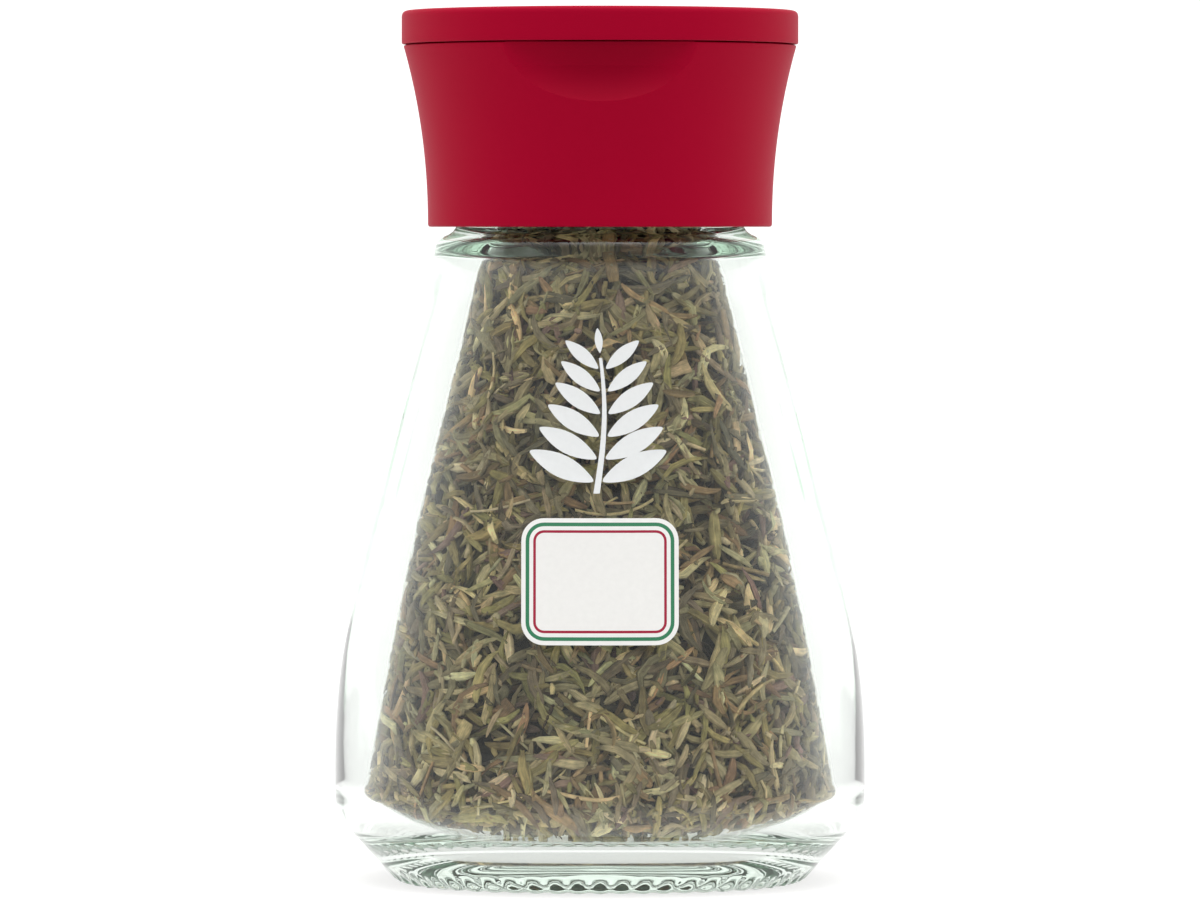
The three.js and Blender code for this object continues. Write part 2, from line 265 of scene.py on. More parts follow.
@dataclass(frozen=True)
class SquaredPlan:
    """The plan of the jar: a softly squared round below the shoulder, a true round at the neck."""

    body: float = 2.35
    neck: float = 2.0
    low: float = 66.0
    high: float = 76.0

    def factor(self, azimuth: np.ndarray, height: np.ndarray) -> np.ndarray:
        """Gives how far the plan stands out at an azimuth, as a share of its half width."""
        share = np.clip((height - self.low) / (self.high - self.low), 0, 1)
        n = self.body + (self.neck - self.body) * share * share * (3 - 2 * share)
        return (np.abs(np.cos(azimuth)) ** n + np.abs(np.sin(azimuth)) ** n) ** (-1 / n)

    def apply(self, shape: bmesh.types.BMesh) -> None:
        """Moves the vertices of a spun shape out to the plan."""
        places = np.array([vert.co for vert in shape.verts])
        factors = self.factor(np.arctan2(places[:, 1], places[:, 0]), places[:, 2])
        for vert, factor in zip(shape.verts, factors.tolist()):
            vert.co.x *= factor
            vert.co.y *= factor


@dataclass(frozen=True)
class ScrewThread:
    """One trapezoid thread ridge that climbs right-handed from the front and fades at its ends."""

    low: float
    height: float = 1.1
    pitch: float = 4.2
    turns: float = 1.25
    root: float = 2.2
    crest: float = 0.9
    run_out: float = 0.08

    def reach(self, azimuth: float, height: float) -> float:
        """Gives how far the ridge stands off its wall at a place on it.

        Args:
            azimuth: The place's azimuth.
            height: The place's height.

        Returns:
            A distance in millimetres.
        """
        turn = ((azimuth - FRONT) / (2 * math.pi)) % 1.0
        best = 0.0
        for lap in range(2):
            along = (turn + lap) / self.turns
            if along <= 1:
                aside = abs(height - self.low - (turn + lap) * self.pitch)
                side = (self.root / 2 - aside) / ((self.root - self.crest) / 2)
                fade = min(1.0, along / self.run_out, (1 - along) / self.run_out)
                best = max(best, self.height * min(1.0, max(0.0, side)) * fade)
        return best


# Finishes


@dataclass(frozen=True)
class SodaLimeGlass:
    """Pressed and blown soda-lime container glass: clear, fire-polished, faintly green in depth.

    Its iron shows only where light runs far inside it, as in the thick base, and the mould leaves
    its skin slightly wavy.
    """

    ior: float = 1.52
    roughness: float = 0.0
    skin: str = "#fbfdfb"
    depth_tint: str = "#dcefe2"
    depth_density: float = 16.0  # per metre
    wave_mm: float = 9.0
    wave_height_mm: float = 0.02

    def material(self) -> bpy.types.Material:
        """Builds the material."""
        material, tree = blank_material("soda_lime_glass")
        place = add_node(tree, "ShaderNodeTexCoord")
        waves = add_node(
            tree, "ShaderNodeTexNoise",
            {"Vector": place.outputs["Object"], "Scale": 1 / (self.wave_mm * MM), "Detail": 1.0},
        )
        bump = add_node(
            tree, "ShaderNodeBump",
            {"Height": waves.outputs["Fac"], "Distance": self.wave_height_mm * MM, "Strength": 1.0},
        )
        surface = add_node(
            tree, "ShaderNodeBsdfPrincipled",
            {
                "Base Color": linear(self.skin), "Roughness": self.roughness, "IOR": self.ior,
                "Transmission Weight": 1.0, "Normal": bump.outputs["Normal"],
            },
        )
        depth = add_node(
            tree, "ShaderNodeVolumeAbsorption",
            {"Color": linear(self.depth_tint), "Density": self.depth_density},
        )
        add_node(
            tree, "ShaderNodeOutputMaterial",
            {"Surface": surface.outputs["BSDF"], "Volume": depth.outputs["Volume"]},
        )
        return material


@dataclass(frozen=True)
class MouldedPolypropylene:
    """Injection-moulded red polypropylene with a fine spark-eroded skin.

    It gives broad soft highlights, a slightly lighter rim at thin edges, and hardly any grain.
    """

    name: str = "moulded_polypropylene_red"
    colour: str = "#a00026"
    flow_colour: str = "#a50129"
    roughness: float = 0.5
    roughness_spread: Point = (-0.04, 0.05)
    ior: float = 1.49
    specular: float = 0.05
    flow_mm: float = 16.0
    grain_mm: float = 0.35  # real spark erosion is about 0.1 mm, too fine to show
    grain_height_mm: float = 0.004

    def material(self) -> bpy.types.Material:
        """Builds the material."""
        material, tree = blank_material(self.name)
        place = add_node(tree, "ShaderNodeTexCoord")
        flow = add_node(
            tree, "ShaderNodeTexNoise",
            {"Vector": place.outputs["Object"], "Scale": 1 / (self.flow_mm * MM), "Detail": 2.0},
        )
        colour = add_node(
            tree, "ShaderNodeMix",
            {
                "Factor": flow.outputs["Fac"],
                "A": linear(self.colour), "B": linear(self.flow_colour),
            },
            data_type="RGBA",
        )
        grain = add_node(
            tree, "ShaderNodeTexNoise",
            {"Vector": place.outputs["Object"], "Scale": 1 / (self.grain_mm * MM), "Detail": 1.0},
        )
        smoother, rougher = (self.roughness + shift for shift in self.roughness_spread)
        gloss = add_node(
            tree, "ShaderNodeMapRange",
            {"Value": flow.outputs["Fac"], "To Min": smoother, "To Max": rougher},
        )
        bump = add_node(
            tree, "ShaderNodeBump",
            {
                "Height": grain.outputs["Fac"],
                "Distance": self.grain_height_mm * MM, "Strength": 1.0,
            },
        )
        surface = add_node(
            tree, "ShaderNodeBsdfPrincipled",
            {
                "Base Color": colour.outputs["Result"], "Roughness": gloss.outputs["Result"],
                "IOR": self.ior, "Specular IOR Level": self.specular,
                "Normal": bump.outputs["Normal"],
            },
        )
        add_node(tree, "ShaderNodeOutputMaterial", {"Surface": surface.outputs["BSDF"]})
        return material


@dataclass(frozen=True)
class DriedLeafSkin:
    """Air-dried thyme: matt grey-green leaf with browned, dusty patches and ridges made paler by
    painted highlight.

    The tone of each leaf, with its painted highlight and shade, comes from its mesh, and the
    streaks run along the leaf.
    """

    name: str = "air_dried_thyme_leaf"
    roughness: float = 0.82
    specular: float = 0.3
    streak_scale: float = 2.6  # to the leaf's own measure, which runs along it
    fleck_mm: float = 1.2
    darkest: float = 0.6
    palest: float = 1.55
    vein_height_mm: float = 0.05

    def material(self) -> bpy.types.Material:
        """Builds the material."""
        material, tree = blank_material(self.name)
        tone = add_node(tree, "ShaderNodeAttribute", attribute_name="tone")
        along = add_node(tree, "ShaderNodeAttribute", attribute_name="leaf_place")
        streaks = add_node(
            tree, "ShaderNodeTexNoise",
            {
                "Vector": along.outputs["Vector"], "Scale": self.streak_scale,
                "Detail": 3.0, "Roughness": 0.6,
            },
        )
        place = add_node(tree, "ShaderNodeTexCoord")
        flecks = add_node(
            tree, "ShaderNodeTexNoise",
            {"Vector": place.outputs["Object"], "Scale": 1 / (self.fleck_mm * MM), "Detail": 2.0},
        )
        both = add_node(
            tree, "ShaderNodeMath", {0: streaks.outputs["Fac"], 1: flecks.outputs["Fac"]},
            operation="MULTIPLY",
        )
        light = add_node(
            tree, "ShaderNodeMapRange",
            {
                "Value": both.outputs[0], "From Min": 0.1, "From Max": 0.42,
                "To Min": self.darkest, "To Max": self.palest,
            },
        )
        colour = add_node(
            tree, "ShaderNodeVectorMath",
            {0: tone.outputs["Color"], "Scale": light.outputs["Result"]}, operation="SCALE",
        )
        bump = add_node(
            tree, "ShaderNodeBump",
            {
                "Height": streaks.outputs["Fac"],
                "Distance": self.vein_height_mm * MM, "Strength": 1.0,
            },
        )
        surface = add_node(
            tree, "ShaderNodeBsdfPrincipled",
            {
                "Base Color": colour.outputs["Vector"], "Roughness": self.roughness,
                "Specular IOR Level": self.specular, "Normal": bump.outputs["Normal"],
            },
        )
        add_node(tree, "ShaderNodeOutputMaterial", {"Surface": surface.outputs["BSDF"]})
        return material


@dataclass(frozen=True)
class DustAndPaintedShade:
    """The crumbs and powdered leaf between the leaves: dark brown-green as painted shade for the
    filling's depth, quite matt, all small shadows.
    """

    # Painted shade: these near-black colours stand for the shade deep in the filling.
    dark: str = "#1f1e18"
    pale: str = "#413d30"
    roughness: float = 0.95
    specular: float = 0.1
    crumb_mm: float = 0.9
    crumb_height_mm: float = 0.5

    def material(self) -> bpy.types.Material:
        """Builds the material."""
        material, tree = blank_material("herb_dust_and_painted_shade")
        place = add_node(tree, "ShaderNodeTexCoord")
        crumbs = add_node(
            tree, "ShaderNodeTexNoise",
            {"Vector": place.outputs["Object"], "Scale": 1 / (self.crumb_mm * MM), "Detail": 4.0},
        )
        colour = add_node(
            tree, "ShaderNodeMix",
            {"Factor": crumbs.outputs["Fac"], "A": linear(self.dark), "B": linear(self.pale)},
            data_type="RGBA",
        )
        bump = add_node(
            tree, "ShaderNodeBump",
            {
                "Height": crumbs.outputs["Fac"],
                "Distance": self.crumb_height_mm * MM, "Strength": 1.0,
            },
        )
        surface = add_node(
            tree, "ShaderNodeBsdfPrincipled",
            {
                "Base Color": colour.outputs["Result"], "Roughness": self.roughness,
                "Specular IOR Level": self.specular, "Normal": bump.outputs["Normal"],
            },
        )
        add_node(tree, "ShaderNodeOutputMaterial", {"Surface": surface.outputs["BSDF"]})
        return material


@dataclass(frozen=True)
class PrintedSkin:
    """A thin even skin: screen-printed enamel ink, coated sticker paper or, duller, pressed foam.

    It is smooth and slightly glossy, with a very faint mottle from the ink, paper or foam.
    """

    name: str
    colour: str
    roughness: float = 0.35
    ior: float = 1.5
    mottle_mm: float = 0.6
    mottle: Point = (0.96, 1.03)

    def material(self) -> bpy.types.Material:
        """Builds the material."""
        material, tree = blank_material(self.name)
        place = add_node(tree, "ShaderNodeTexCoord")
        mottle = add_node(
            tree, "ShaderNodeTexNoise",
            {"Vector": place.outputs["Object"], "Scale": 1 / (self.mottle_mm * MM), "Detail": 2.0},
        )
        level = add_node(
            tree, "ShaderNodeMapRange",
            {"Value": mottle.outputs["Fac"], "To Min": self.mottle[0], "To Max": self.mottle[1]},
        )
        colour = add_node(
            tree, "ShaderNodeVectorMath",
            {0: linear(self.colour)[:3], "Scale": level.outputs["Result"]}, operation="SCALE",
        )
        surface = add_node(
            tree, "ShaderNodeBsdfPrincipled",
            {"Base Color": colour.outputs["Vector"], "Roughness": self.roughness, "IOR": self.ior},
        )
        add_node(tree, "ShaderNodeOutputMaterial", {"Surface": surface.outputs["BSDF"]})
        return material


@dataclass(frozen=True)
class StudioPaper:
    """Matt graduated paper on a light table: glowing white under and behind the jar, grey in front.

    The glow lights the thick glass base from below, and the grey keeps a bright floor from being
    mirrored over what is in the glass.
    """

    colour: str = "#a6a6a5"
    front_colour: str = "#b0b0af"
    roughness: float = 0.9
    specular: float = 0.1
    glow: float = 0.72
    fade_start: float = -0.036  # metres along Y, from the jar's middle
    fade_end: float = -0.12

    def material(self) -> bpy.types.Material:
        """Builds the material."""
        material, tree = blank_material("matt_background_paper")
        place = add_node(tree, "ShaderNodeTexCoord")
        parts = add_node(tree, "ShaderNodeSeparateXYZ", {"Vector": place.outputs["Object"]})
        share = add_node(
            tree, "ShaderNodeMapRange",
            {"Value": parts.outputs["Y"], "From Min": self.fade_start, "From Max": self.fade_end},
            interpolation_type="SMOOTHSTEP",
        )
        colour = add_node(
            tree, "ShaderNodeMix",
            {
                "Factor": share.outputs["Result"],
                "A": linear(self.colour), "B": linear(self.front_colour),
            },
            data_type="RGBA",
        )
        glow = add_node(
            tree, "ShaderNodeMapRange",
            {"Value": share.outputs["Result"], "To Min": self.glow, "To Max": 0.0},
        )
        surface = add_node(
            tree, "ShaderNodeBsdfPrincipled",
            {
                "Base Color": colour.outputs["Result"], "Roughness": self.roughness,
                "Specular IOR Level": self.specular,
                "Emission Color": (1, 1, 1, 1), "Emission Strength": glow.outputs["Result"],
            },
        )
        add_node(tree, "ShaderNodeOutputMaterial", {"Surface": surface.outputs["BSDF"]})
        return material


# Jar


@dataclass
class GlassJar:
    """The thick glass jar: foot ring, chamfer, belly, tapering shoulder with panels, screw neck."""

    facets: int = 384
    plan: SquaredPlan = field(default_factory=SquaredPlan)
    thread: ScrewThread = field(default_factory=lambda: ScrewThread(low=84.2))
    glass: SodaLimeGlass = field(default_factory=SodaLimeGlass)
    neck_radius: float = 16.85
    bore_radius: float = 12.4
    neck_top: float = 94.2
    thread_low: float = 82.0
    foot_top: float = 1.9
    taper_low: Point = (29.4, 33.0)
    taper_high: Point = (20.5, 70.3)
    hollow_floor: float = 4.6
    hollow_radius: float = 28.4
    hollow_corner: Point = (14.0, 11.0)  # the radius where it starts, the height where it ends
    panel_low: float = 42.3
    panel_high: float = 70.3
    panel_half_angle: float = math.radians(84)
    panel_corner: float = 3.3
    panel_depth: float = 0.1
    panel_edge: float = 2.2
    beads: int = 60
    bead_depth: float = 0.18
    bead_power: float = 1.5
    bead_ring: Point = (22.4, 26.4)
    bead_top: float = 3.0
    bead_rise: Point = (22.4, 23.7)  # radii, from no bead to a full one
    bead_fade: Point = (0.5, 1.7)  # heights, from a full bead to none
    bead_side: Point = (23.0, 24.6)  # radii, from pressed up to pressed in as well

    def outer_line(self) -> Outline:
        """Draws the outside from the middle of the push-up to the lip."""
        line = Outline([(0.0, 1.8)]).line(12.0, 1.7, 2.0).bend((17.5, 1.5), (20.2, 0.25), 8)
        line.bend((20.6, 0.0), (21.2, 0.0), 3).line(23.4, 0.0, 0.4)
        line.bend((24.2, 0.0), (24.8, 0.75), 6).line(30.0, 6.4, 0.8)
        line.bend((31.45, 7.9), (31.5, 10.4), 10).line(31.5, 14.0, 1.2)
        line.bend((31.45, 20.6), (30.6, 26.6), 8).bend((30.1, 30.0), (29.35, 33.2), 6)
        line.line(self.taper_radius(41.9), 41.9, 1.4).line(self.taper_radius(44.0), 44.0, 0.3)
        line.line(self.taper_radius(69.2), 69.2, 1.4).line(self.taper_radius(70.8), 70.8, 0.3)
        line.bend((19.75, 73.4), (19.62, 74.6), 6).bend((19.5, 76.0), (18.3, 76.4), 8)
        neck, top = self.neck_radius, self.neck_top
        line.bend((17.0, 76.8), (neck, 78.2), 8).line(neck, 82.6, 1.0)
        line.line(neck, 91.2, 0.4).line(neck, top - 0.8, 0.8)
        return line.bend((neck, top), (neck - 0.8, top), 5)

    def inner_line(self, clear: float = 0.0, top: float | None = None) -> Outline:
        """Draws the hollow from the middle of its floor to the lip or to a lower height.

        Args:
            clear: How far the line is drawn in from the glass.
            top: The height where it ends, in the neck.

        Returns:
            The outline.
        """
        floor, wall = self.hollow_floor + clear, self.hollow_radius - clear
        bore, (corner, rise) = self.bore_radius - clear, self.hollow_corner
        line = Outline([(0.0, floor + 0.5)]).line(corner - clear, floor, 2.0)
        line.bend((wall - 0.6, floor + 0.4), (wall, rise), 16)
        line.bend((24.4 - clear, 35.4), (14.75 - clear, 72.6), 36)
        line.bend((14.6 - clear, 73.2), (14.1 - clear, 73.7), 4)
        line.line(bore + 0.5, 75.2, 0.5).bend((bore, 75.7), (bore, 76.5), 4)
        if top is not None:
            return line.line(bore, top, 1.0)
        line.line(bore, self.neck_top - 0.6, 2.0)
        return line.bend((bore, self.neck_top), (bore + 0.6, self.neck_top), 4)

    def taper_radius(self, height: float) -> float:
        """Gives the straight taper's radius at a height."""
        (wide, low), (slim, high) = self.taper_low, self.taper_high
        return wide + (slim - wide) * (height - low) / (high - low)

    def panel_depth_at(self, azimuth: float, radius: float, height: float) -> float:
        """Gives how deep the label panels are pressed in at a place on the glass.

        Args:
            azimuth: The place's azimuth.
            radius: The glass's radius there.
            height: The place's height.

        Returns:
            A depth in millimetres.
        """
        from_middle = abs(math.asin(max(-1.0, min(1.0, math.cos(azimuth)))))
        aside = (self.panel_half_angle - from_middle) * radius
        level = min(height - self.panel_low, self.panel_high - height)
        dx, dz = self.panel_corner - aside, self.panel_corner - level
        inside = self.panel_corner - math.hypot(dx, dz) if dx > 0 and dz > 0 else min(aside, level)
        return self.panel_depth * smooth_share(inside, 0.0, self.panel_edge)

    def seat(self, across: float, height: float, out: float) -> Vector:
        """Finds a place on the front of the glass.

        Args:
            across: The distance round the glass from its front line, to the right as seen.
            height: The height.
            out: How far the place lies off the glass.

        Returns:
            The place, in millimetres.
        """
        radius = float(self.wall.radius_at(height))
        azimuth = FRONT + across / radius
        radius += out - self.panel_depth_at(azimuth, radius, height)
        radius *= float(self.plan.factor(azimuth, height))
        return Vector((radius * math.cos(azimuth), radius * math.sin(azimuth), height))

    @cached_property
    def wall(self) -> Outline:
        """The outside above the foot, where it rises all the way."""
        return Outline([p for p in self.outer_line().points if p[1] > self.foot_top])

    def mould_outside(self, shape: bmesh.types.BMesh) -> None:
        """Gives the spun outside its foot beads, panels and thread, then its squared plan."""
        for vert in shape.verts:
            x, y, z = vert.co
            radius, azimuth = math.hypot(x, y), math.atan2(y, x)
            if radius < 1e-3:
                continue
            moved = radius
            if self.bead_ring[0] < radius < self.bead_ring[1] and z < self.bead_top:
                bead = abs(math.cos(azimuth * self.beads / 2)) ** self.bead_power
                share = smooth_share(radius, *self.bead_rise)
                share *= 1 - smooth_share(z, *self.bead_fade)
                pressed = self.bead_depth * (1 - bead)
                vert.co.z += pressed * share
                moved -= pressed * smooth_share(radius, *self.bead_side) * share
            elif self.panel_low < z < self.panel_high:
                moved -= self.panel_depth_at(azimuth, radius, z)
            elif z > self.thread_low:
                moved += self.thread.reach(azimuth, z)
            vert.co.x *= moved / radius
            vert.co.y *= moved / radius
        self.plan.apply(shape)

    def build(self) -> bpy.types.Object:
        """Builds the jar as one closed wall of glass.

        Returns:
            The finished piece.
        """
        shape = self.outer_line().spun(self.facets)
        self.mould_outside(shape)
        hollow = self.inner_line().spun(self.facets)
        self.plan.apply(hollow)
        carried = as_mesh("hollow", hollow)
        shape.from_mesh(carried)
        bpy.data.meshes.remove(carried)
        rims = [edge for edge in shape.edges if edge.is_boundary]
        bmesh.ops.bridge_loops(shape, edges=rims)
        bmesh.ops.recalc_face_normals(shape, faces=shape.faces)
        return finish_piece(
            "jar_glass_wall", shape, [self.glass.material()], "jar",
            replaces=["jar_glass"], crease=60,
        )


# Thyme


class Tone(Enum):
    """Colours of the dried pieces, each with its share of them."""

    KHAKI = ("#b0a078", 0.27)
    OLIVE = ("#a49462", 0.24)
    PALE = ("#d3c397", 0.16)
    DULL = ("#877a60", 0.15)
    BROWN = ("#a68761", 0.1)
    MAUVE = ("#96796a", 0.03)
    STRAW = ("#dec392", 0.05)


@dataclass
class DriedThyme:
    """The thyme in the jar: rolled leaves, crumbs, thin stalks and chips, packed to the glass."""

    jar: GlassJar
    top: float = 80.6
    clear: float = 0.2  # between the leaves and the glass
    heart_clear: float = 2.6
    heart_drop: float = 2.2
    corner_radius: float = 21.0  # parts the filling's underside from its side
    layers: Sequence[tuple[float, float, float]] = (  # nearest, deepest, lightness as painted shade for the deeper layers
        (0.0, 0.4, 1.16), (0.1, 0.9, 1.04), (0.5, 1.4, 0.8), (1.0, 2.0, 0.5), (1.5, 2.5, 0.34),
    )
    leaves: int = 10500
    crumbs: int = 4500
    stalks: int = 260
    chips: int = 70
    seed: int = 20417
    skin: DriedLeafSkin = field(default_factory=DriedLeafSkin)
    dust_and_shade_skin: DustAndPaintedShade = field(default_factory=DustAndPaintedShade)

    line: Outline = field(init=False)
    draw: np.random.Generator = field(init=False)
    leaf_material: bpy.types.Material = field(init=False)

    def __post_init__(self) -> None:
        """Draws the line of the filling, starts the seeded draw and makes the leaves' skin."""
        self.line = self.jar.inner_line(self.clear, self.top).line(0.0, self.top, 1.5)
        self.draw = np.random.default_rng(self.seed)
        self.leaf_material = self.skin.material()

    def core(self) -> bpy.types.Object:
        """Builds the dark heart of crumbs and powdered leaf that shows between the leaves, its
        darkness painted shade for the filling's depth.

        Returns:
            The finished piece.
        """
        top = self.top - self.heart_drop
        shape = self.jar.inner_line(self.heart_clear, top).line(0.0, top, 1.5).spun(128)
        self.jar.plan.apply(shape)
        for vert in shape.verts:
            shift = 0.7 * noise.noise(vert.co * 0.7)
            vert.co += vert.normal * min(0.6, shift)
        return finish_piece(
            "thyme_heart_painted_shade", shape, [self.dust_and_shade_skin.material()], "jar",
            replaces=["thyme_leaves"], crease=180,
        )

    def rolled_leaf(self) -> bmesh.types.BMesh:
        """Shapes one leaf of unit length along Y: a slim roll with a groove down its upper side.

        Returns:
            The shape, about the origin.
        """
        section = [(-1.0, -0.1), (-0.6, 0.8), (0.0, 0.42), (0.6, 0.8), (1.0, -0.1), (0.0, -0.8)]
        girth = [(-0.5, 0.3), (-0.4, 0.7), (-0.15, 1.0), (0.15, 0.95), (0.38, 0.62), (0.5, 0.16)]
        return self.lofted(section, girth)

    def stalk(self) -> bmesh.types.BMesh:
        """Shapes a stretch of thin stalk of unit length along Y."""
        turns = np.linspace(0, 2 * math.pi, 5, endpoint=False)
        section = [(math.cos(turn), math.sin(turn)) for turn in turns]
        girth = [(y, 1.0 - 0.25 * abs(y)) for y in np.linspace(-0.5, 0.5, 8)]
        return self.lofted(section, girth)

    def crumb(self) -> bmesh.types.BMesh:
        """Shapes a broken bit of leaf of unit length along Y."""
        section = [(-1.0, 0.0), (-0.4, 0.8), (0.6, 0.7), (1.0, -0.2), (0.0, -0.8)]
        return self.lofted(section, [(-0.5, 0.45), (-0.1, 1.0), (0.5, 0.7)])

    def chip(self) -> bmesh.types.BMesh:
        """Shapes a flat splinter of woody stalk of unit length along Y."""
        section = [(-1.0, -0.3), (-0.8, 0.3), (0.7, 0.45), (1.0, -0.2)]
        girth = [(-0.5, 0.75), (-0.2, 1.0), (0.2, 0.9), (0.5, 1.0)]
        return self.lofted(section, girth)

    @staticmethod
    def lofted(section: Sequence[Point], girth: Sequence[Point]) -> bmesh.types.BMesh:
        """Carries a closed section along Y through a list of stations.

        Args:
            section: The section's points as (x, z).
            girth: The stations as (y, scale of the section).

        Returns:
            The closed shape.
        """
        shape = bmesh.new()
        y, scale = girth[0]
        ring = [shape.verts.new((x * scale, y, z * scale)) for x, z in section]
        face = shape.faces.new(ring)
        for (y, scale), (_, last_scale) in zip(girth[1:], girth):
            face = bmesh.ops.extrude_discrete_faces(shape, faces=[face])["faces"][0]
            grow = scale / last_scale
            for vert in face.verts:
                vert.co = Vector((vert.co.x * grow, y, vert.co.z * grow))
        bmesh.ops.recalc_face_normals(shape, faces=shape.faces)
        return shape

    def places(self, count: int) -> tuple[np.ndarray, np.ndarray]:
        """Draws places over the outside of the filling, evenly by area.

        Args:
            count: How many.

        Returns:
            The points and their outward normals, as two arrays of rows.
        """
        flat = np.array(self.line.points)
        steps = np.linalg.norm(np.diff(flat, axis=0), axis=1) * (flat[1:, 0] + flat[:-1, 0])
        reach = np.concatenate([[0.0], np.cumsum(steps)])
        share = self.draw.random(count) * reach[-1]
        index = np.clip(np.searchsorted(reach, share) - 1, 0, len(steps) - 1)
        along = (share - reach[index]) / np.maximum(steps[index], 1e-9)
        spot = flat[index] + (flat[index + 1] - flat[index]) * along[:, None]
        slope = flat[index + 1] - flat[index]
        slope /= np.linalg.norm(slope, axis=1)[:, None]
        azimuth = self.draw.random(count) * 2 * math.pi
        factor = self.jar.plan.factor(azimuth, spot[:, 1])
        small = 0.01  # radians, to see how the plan turns
        turn = (self.jar.plan.factor(azimuth + small, spot[:, 1]) - factor) / small
        bearing = azimuth - np.arctan2(turn, factor)
        radius = spot[:, 0] * factor
        points = np.stack([radius * np.cos(azimuth), radius * np.sin(azimuth), spot[:, 1]], 1)
        normals = np.stack(
            [slope[:, 1] * np.cos(bearing), slope[:, 1] * np.sin(bearing), -slope[:, 0]], 1,
        )
        return points, normals

    def held_inside(self, points: np.ndarray, clear: np.ndarray) -> np.ndarray:
        """Presses points that would reach into the glass back onto the filling's outside.

        Args:
            points: Rows of points for each piece, as (pieces, points, 3).
            clear: How far each piece keeps inside that outside.

        Returns:
            The points, moved where they had to be.
        """
        flat = np.array([p for p in self.line.points if p[1] < self.top])
        corner = int(np.argmax(flat[:, 0] > self.corner_radius))
        floor, wall = flat[:corner], flat[corner:]
        azimuth = np.arctan2(points[..., 1], points[..., 0])
        radius = np.hypot(points[..., 0], points[..., 1])
        keep = clear[:, None]
        lowest = np.interp(radius, floor[:, 0], floor[:, 1]) + keep
        height = np.clip(points[..., 2], lowest, self.top - keep)
        limit = np.interp(height, wall[:, 1], wall[:, 0])
        limit = limit * self.jar.plan.factor(azimuth, height) - keep
        pull = np.minimum(1.0, limit / np.maximum(radius, 1e-6))
        return np.stack([points[..., 0] * pull, points[..., 1] * pull, height], -1)

    def tones(self, count: int, weights: dict[Tone, float] | None = None) -> np.ndarray:
        """Draws a colour for each piece.

        Args:
            count: How many pieces.
            weights: The share of each tone, where it isn't the usual one.

        Returns:
            Rows of linear red, green, blue and alpha.
        """
        shares = weights or {tone: tone.value[1] for tone in Tone}
        palette = np.array([linear(tone.value[0]) for tone in shares])
        chance = np.array(list(shares.values()))
        made = palette[self.draw.choice(len(palette), count, p=chance / chance.sum())]
        made[:, :3] *= self.draw.uniform(0.66, 1.3, (count, 1))
        made[:, :3] *= self.draw.uniform(0.94, 1.06, (count, 3))
        return made

    def strewn(
        self,
        name: str,
        pattern: bmesh.types.BMesh,
        sizes: np.ndarray,
        bends: np.ndarray,
        deep: tuple[float, float],
        tones: np.ndarray,
        tilt: float = 0.4,
    ) -> bpy.types.Object:
        """Strews copies of one shape over the filling and joins them into one piece.

        Args:
            name: The piece's name.
            pattern: The shape of unit length along Y, which is freed.
            sizes: Rows of (half width, length, half thickness) in millimetres.
            bends: Rows of (sideways, inwards, winding) bend, as rise over length squared and cubed.
            deep: The least and greatest depth of the copies under the filling's outside.
            tones: A row of colour for each copy.
            tilt: How far the copies tip out of the filling's outside, in radians.

        Returns:
            The finished piece.
        """
        count = len(sizes)
        unit = np.array([v.co for v in pattern.verts])
        faces = [[v.index for v in f.verts] for f in pattern.faces]
        pattern.free()
        points, normals = self.places(count)
        local = unit[None] * sizes[:, None, :]
        rise = local[..., 1] ** 2
        local[..., 0] += bends[:, None, 0] * rise + bends[:, None, 2] * local[..., 1] ** 3
        local[..., 2] -= bends[:, None, 1] * rise
        guide = self.draw.normal(size=(count, 3))
        normals += guide * tilt * self.draw.random((count, 1))
        normals /= np.linalg.norm(normals, axis=1)[:, None]
        along = np.cross(normals, self.draw.normal(size=(count, 3)))
        along /= np.linalg.norm(along, axis=1)[:, None]
        across = np.cross(along, normals)
        depth = self.draw.uniform(*deep, count)
        centre = points - normals * (depth + sizes[:, 2])[:, None]
        basis = np.stack([across, along, normals], 1)
        laid = centre[:, None] + np.einsum("nvk,nkj->nvj", local, basis)
        laid = self.held_inside(laid, 0.15 * self.draw.random(count))
        mesh = bpy.data.meshes.new(name)
        starts = np.arange(count)[:, None] * len(unit)
        rows = [list(start + np.array(face)) for start in starts[:, 0] for face in faces]
        mesh.from_pydata((laid.reshape(-1, 3) * MM).tolist(), [], rows)
        tone = mesh.attributes.new("tone", "FLOAT_COLOR", "POINT")
        # Painted highlight and shade: each piece's tone is lightened on its upper side and ridges,
        # and darkened underneath.
        painted_shading = np.ones((1, len(unit), 4))
        painted_shading[..., :3] = (0.68 + 0.62 * np.clip(unit[:, 2], -0.35, 1.0))[None, :, None]
        tones_with_painted_shading = (tones[:, None] * painted_shading).astype(np.float32)
        tone.data.foreach_set("color", tones_with_painted_shading.ravel())
        spot = np.repeat(unit[None], count, 0) * (3.2, 1.2, 3.2)
        spot += self.draw.uniform(0, 90, (count, 1, 3))
        place = mesh.attributes.new("leaf_place", "FLOAT_VECTOR", "POINT")
        place.data.foreach_set("vector", spot.astype(np.float32).ravel())
        return finish_piece(name, mesh, [self.leaf_material], "jar", crease=75)

